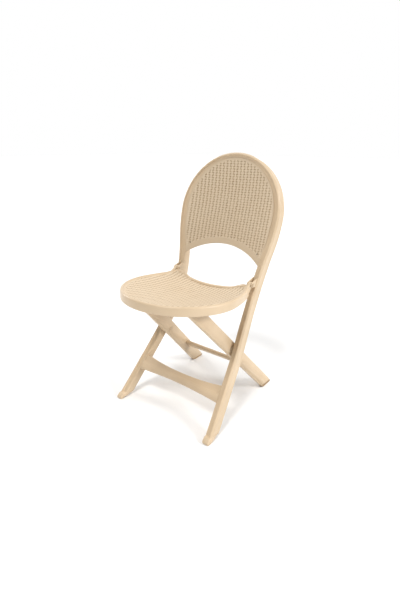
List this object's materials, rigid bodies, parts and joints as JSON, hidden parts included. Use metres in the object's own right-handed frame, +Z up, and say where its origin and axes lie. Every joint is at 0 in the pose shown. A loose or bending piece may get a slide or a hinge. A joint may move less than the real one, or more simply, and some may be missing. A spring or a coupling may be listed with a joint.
{
  "type": "folding chair",
  "caption": "Cross-legged folding chair in cream moulded plastic, with an arched woven-look back and a round woven-look seat that flips up.",
  "frame": {"origin": "on the floor below the middle of the chair's outer box", "axes": "+Z up, -Y is the way the sitter faces, +X is to the right of someone looking at the chair's front; left and right nodes are named by -X and +X"},
  "size_m": [0.4348, 0.5392, 0.8699],
  "materials": {
    "frame_plastic": "cream polypropylene, satin moulded",
    "woven_plastic": "cream polypropylene moulded in a cane weave texture",
    "steel": "plain steel pin",
    "dark_metal": "dark coated screw",
    "nylon": "natural nylon washer"
  },
  "bodies": {
    "frame": {"back_frame": "frame_plastic", "back_panel": "woven_plastic", "panel_screws": "dark_metal", "front_stretcher": "frame_plastic", "front_foot_left": "frame_plastic", "front_foot_right": "frame_plastic", "crossing_pin_left": "steel", "crossing_pin_right": "steel", "seat_hinge_pin_left": "steel", "seat_hinge_pin_right": "steel"},
    "rear_legs": {"rear_leg_left": "frame_plastic", "rear_leg_right": "frame_plastic", "rear_stretcher": "frame_plastic", "slide_bar": "frame_plastic", "rear_foot_left": "frame_plastic", "rear_foot_right": "frame_plastic", "crossing_washer_left": "nylon", "crossing_washer_right": "nylon"},
    "seat": {"seat_shell": "frame_plastic", "seat_panel": "woven_plastic"}
  },
  "joints": [
    {"name": "leg_fold", "type": "hinge", "parent": "frame", "child": "rear_legs", "pos_m": [0, 0.02605, 0.23], "axis": [-1, 0, 0], "range_deg": [0, 48]},
    {"name": "seat_fold", "type": "hinge", "parent": "frame", "child": "seat", "pos_m": [0, 0.10015, 0.453], "axis": [-1, 0, 0], "range_deg": [0, 104.6]}
  ],
  "couplings": [
    {"joint": "seat_fold", "follows": "leg_fold", "ratio": 2.179}
  ]
}
